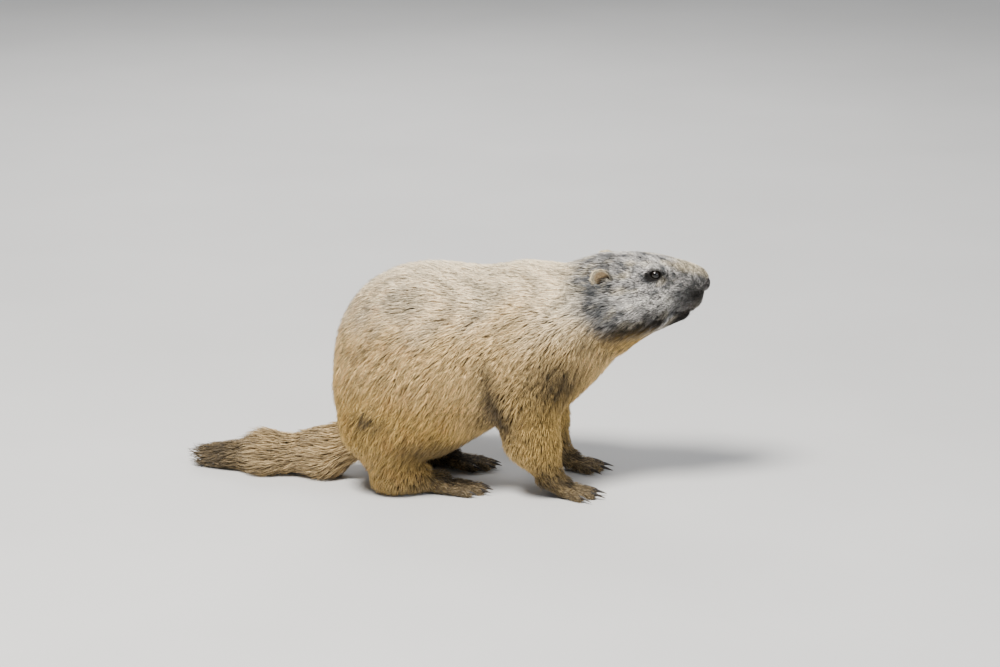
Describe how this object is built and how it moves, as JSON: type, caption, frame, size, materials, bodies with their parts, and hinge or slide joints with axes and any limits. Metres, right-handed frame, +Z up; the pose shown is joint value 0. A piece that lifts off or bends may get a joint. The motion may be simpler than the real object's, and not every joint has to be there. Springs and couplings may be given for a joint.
{
  "type": "alpine marmot figure",
  "caption": "Life-size still figure of an alpine marmot standing on all fours, head held level, tail laid out behind.",
  "frame": {"origin": "on the floor under the middle of the animal, nose to tail", "axes": "+X towards the nose, +Y to the animal's left, +Z up"},
  "size_m": [0.5186, 0.1898, 0.2414],
  "materials": {
    "body_coat": "soft fur",
    "head_coat": "soft fur",
    "throat_coat": "soft fur",
    "paw_coat": "short fur",
    "tail_coat": "bushy fur",
    "ear_coat": "short fur",
    "nose_leather": "matte, slightly moist",
    "eye": "glossy",
    "claw": "satin horn"
  },
  "bodies": {
    "root": {"head": "head_coat", "jaw": "throat_coat", "nose": "nose_leather", "neck": "throat_coat", "trunk": "body_coat", "tail": "tail_coat", "foreleg_left": "body_coat", "forepaw_left": "paw_coat", "hindleg_left": "body_coat", "hindpaw_left": "paw_coat", "ear_left": "ear_coat", "eye_left": "eye", "fore_claw_1_left": "claw", "fore_claw_2_left": "claw", "fore_claw_3_left": "claw", "fore_claw_4_left": "claw", "hind_claw_1_left": "claw", "hind_claw_2_left": "claw", "hind_claw_3_left": "claw", "hind_claw_4_left": "claw", "hind_claw_5_left": "claw", "foreleg_right": "body_coat", "forepaw_right": "paw_coat", "hindleg_right": "body_coat", "hindpaw_right": "paw_coat", "ear_right": "ear_coat", "eye_right": "eye", "fore_claw_1_right": "claw", "fore_claw_2_right": "claw", "fore_claw_3_right": "claw", "fore_claw_4_right": "claw", "hind_claw_1_right": "claw", "hind_claw_2_right": "claw", "hind_claw_3_right": "claw", "hind_claw_4_right": "claw", "hind_claw_5_right": "claw"}
  },
  "joints": []
}
